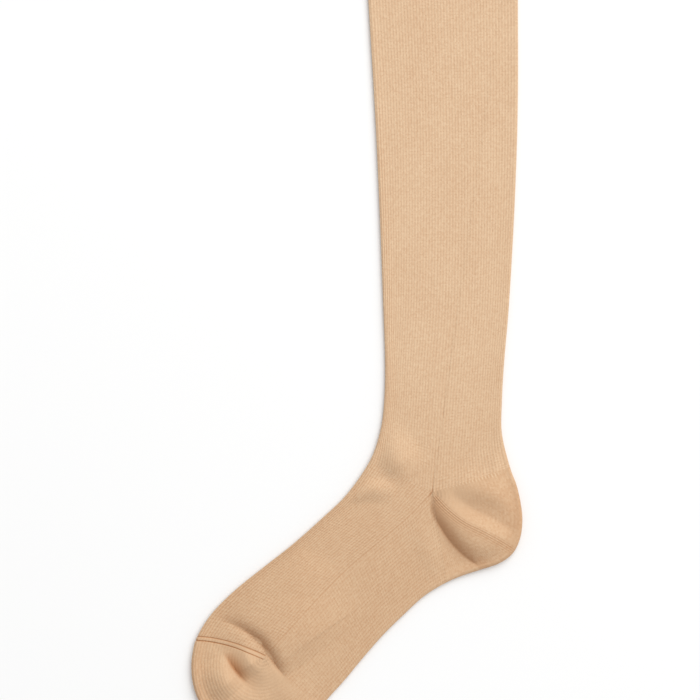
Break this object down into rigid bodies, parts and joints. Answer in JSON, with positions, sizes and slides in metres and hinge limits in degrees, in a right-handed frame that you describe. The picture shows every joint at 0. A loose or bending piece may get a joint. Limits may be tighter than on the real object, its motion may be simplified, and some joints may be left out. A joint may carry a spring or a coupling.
{
  "type": "knee-high compression stocking",
  "caption": "Knee-high compression stocking laid flat on its side: double welt at the open top, ribbed leg and foot, turned heel pocket, closed toe with a linked seam.",
  "frame": {"origin": "bottom centre of the bounding box, on the surface that the stocking lies on", "axes": "+Y up the leg towards the open top, +X towards the back of the leg and the heel, +Z away from the surface"},
  "size_m": [0.2084, 0.511, 0.0101],
  "materials": {
    "welt_knit": "soft matt double-layer rib",
    "leg_knit": "fine vertical rib, matt with a faint sheen",
    "heel_knit": "plain reinforced knit, matt",
    "foot_knit": "fine rib along the foot, matt",
    "toe_knit": "plain reinforced knit, matt",
    "toe_seam_yarn": "linked seam between two recessed stitch lines"
  },
  "bodies": {
    "root": {"welt": "welt_knit", "leg": "leg_knit", "heel": "heel_knit", "foot": "foot_knit", "toe": "toe_knit", "toe_seam": "toe_seam_yarn"}
  },
  "joints": []
}
